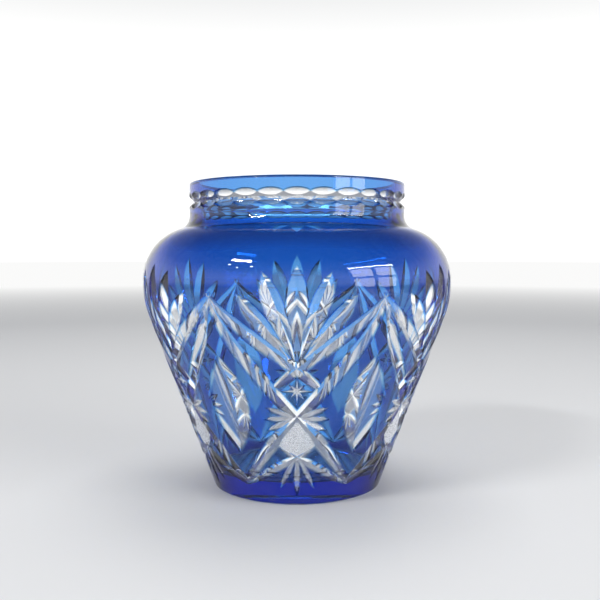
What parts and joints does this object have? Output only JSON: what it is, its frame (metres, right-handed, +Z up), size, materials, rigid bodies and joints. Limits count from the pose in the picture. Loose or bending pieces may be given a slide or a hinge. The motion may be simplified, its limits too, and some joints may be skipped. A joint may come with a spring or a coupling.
{
  "type": "cut crystal vase",
  "caption": "Round-bellied cased glass vase on a narrow foot, with a short wide neck and a wheel-cut pattern through its blue skin.",
  "frame": {"origin": "centre of the foot, on the table", "axes": "+Z up through the mouth, +X to the right of the motif that faces -Y"},
  "size_m": [0.2034, 0.2034, 0.2],
  "materials": {
    "clear_crystal": "clear lead crystal, wheel cut and polished",
    "cobalt_casing": "transparent cobalt blue overlay glass, fire polished"
  },
  "bodies": {
    "root": {"crystal_body": "clear_crystal", "rim_casing": "cobalt_casing", "shoulder_casing": "cobalt_casing", "foot_casing": "cobalt_casing", "lens_panel_1": "cobalt_casing", "lens_panel_2": "cobalt_casing", "lens_panel_3": "cobalt_casing", "lens_panel_4": "cobalt_casing", "lens_panel_5": "cobalt_casing", "lens_panel_6": "cobalt_casing", "star_panel_1": "cobalt_casing", "star_panel_2": "cobalt_casing", "star_panel_3": "cobalt_casing", "star_panel_4": "cobalt_casing", "star_panel_5": "cobalt_casing", "star_panel_6": "cobalt_casing", "bow_left_1": "cobalt_casing", "bow_left_2": "cobalt_casing", "bow_left_3": "cobalt_casing", "bow_left_4": "cobalt_casing", "bow_left_5": "cobalt_casing", "bow_left_6": "cobalt_casing", "bow_right_1": "cobalt_casing", "bow_right_2": "cobalt_casing", "bow_right_3": "cobalt_casing", "bow_right_4": "cobalt_casing", "bow_right_5": "cobalt_casing", "bow_right_6": "cobalt_casing", "leg_left_1": "cobalt_casing", "leg_left_2": "cobalt_casing", "leg_left_3": "cobalt_casing", "leg_left_4": "cobalt_casing", "leg_left_5": "cobalt_casing", "leg_left_6": "cobalt_casing", "leg_right_1": "cobalt_casing", "leg_right_2": "cobalt_casing", "leg_right_3": "cobalt_casing", "leg_right_4": "cobalt_casing", "leg_right_5": "cobalt_casing", "leg_right_6": "cobalt_casing"}
  },
  "joints": []
}
